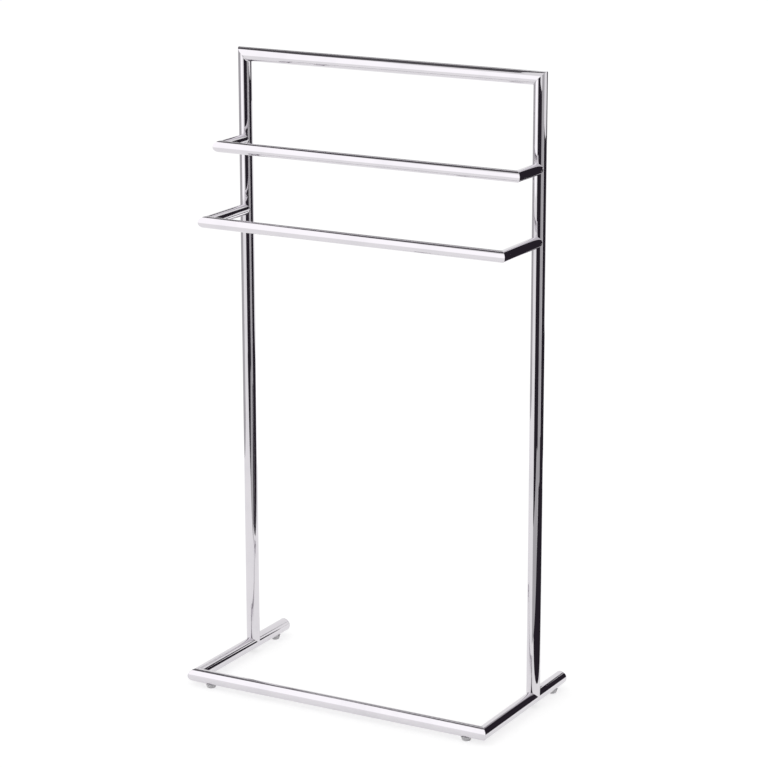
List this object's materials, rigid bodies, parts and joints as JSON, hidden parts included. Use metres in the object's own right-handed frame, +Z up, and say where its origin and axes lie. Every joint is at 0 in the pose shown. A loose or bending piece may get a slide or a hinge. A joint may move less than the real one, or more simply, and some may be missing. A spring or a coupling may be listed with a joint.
{
  "type": "freestanding towel stand",
  "caption": "Upright frame of round chromed tube with a top bar and two rails on forward arms, on a U-shaped base with cone-shaped feet.",
  "frame": {"origin": "on the floor, below the middle of the stand's outline", "axes": "+Z up, +X to the right of someone facing the front, +Y to the back; the rails reach towards -Y"},
  "size_m": [0.469, 0.2476, 0.8775],
  "materials": {
    "chrome": "polished chrome plate on steel tube",
    "clear_rubber": "pale translucent moulded rubber, satin",
    "zinc_steel": "bright zinc plated"
  },
  "bodies": {
    "root": {"top_bar": "chrome", "base_front_bar": "chrome", "upper_rail_bar": "chrome", "lower_rail_bar": "chrome", "post_left": "chrome", "upper_rail_arm_left": "chrome", "lower_rail_arm_left": "chrome", "base_runner_left": "chrome", "runner_end_cap_left": "chrome", "post_plug_left": "zinc_steel", "saddle_washer_left": "zinc_steel", "base_screw_left": "zinc_steel", "post_right": "chrome", "upper_rail_arm_right": "chrome", "lower_rail_arm_right": "chrome", "base_runner_right": "chrome", "runner_end_cap_right": "chrome", "post_plug_right": "zinc_steel", "saddle_washer_right": "zinc_steel", "base_screw_right": "zinc_steel", "foot_front_left": "clear_rubber", "foot_screw_front_left": "zinc_steel", "foot_front_right": "clear_rubber", "foot_screw_front_right": "zinc_steel", "foot_rear_left": "clear_rubber", "foot_screw_rear_left": "zinc_steel", "foot_rear_right": "clear_rubber", "foot_screw_rear_right": "zinc_steel"}
  },
  "joints": []
}
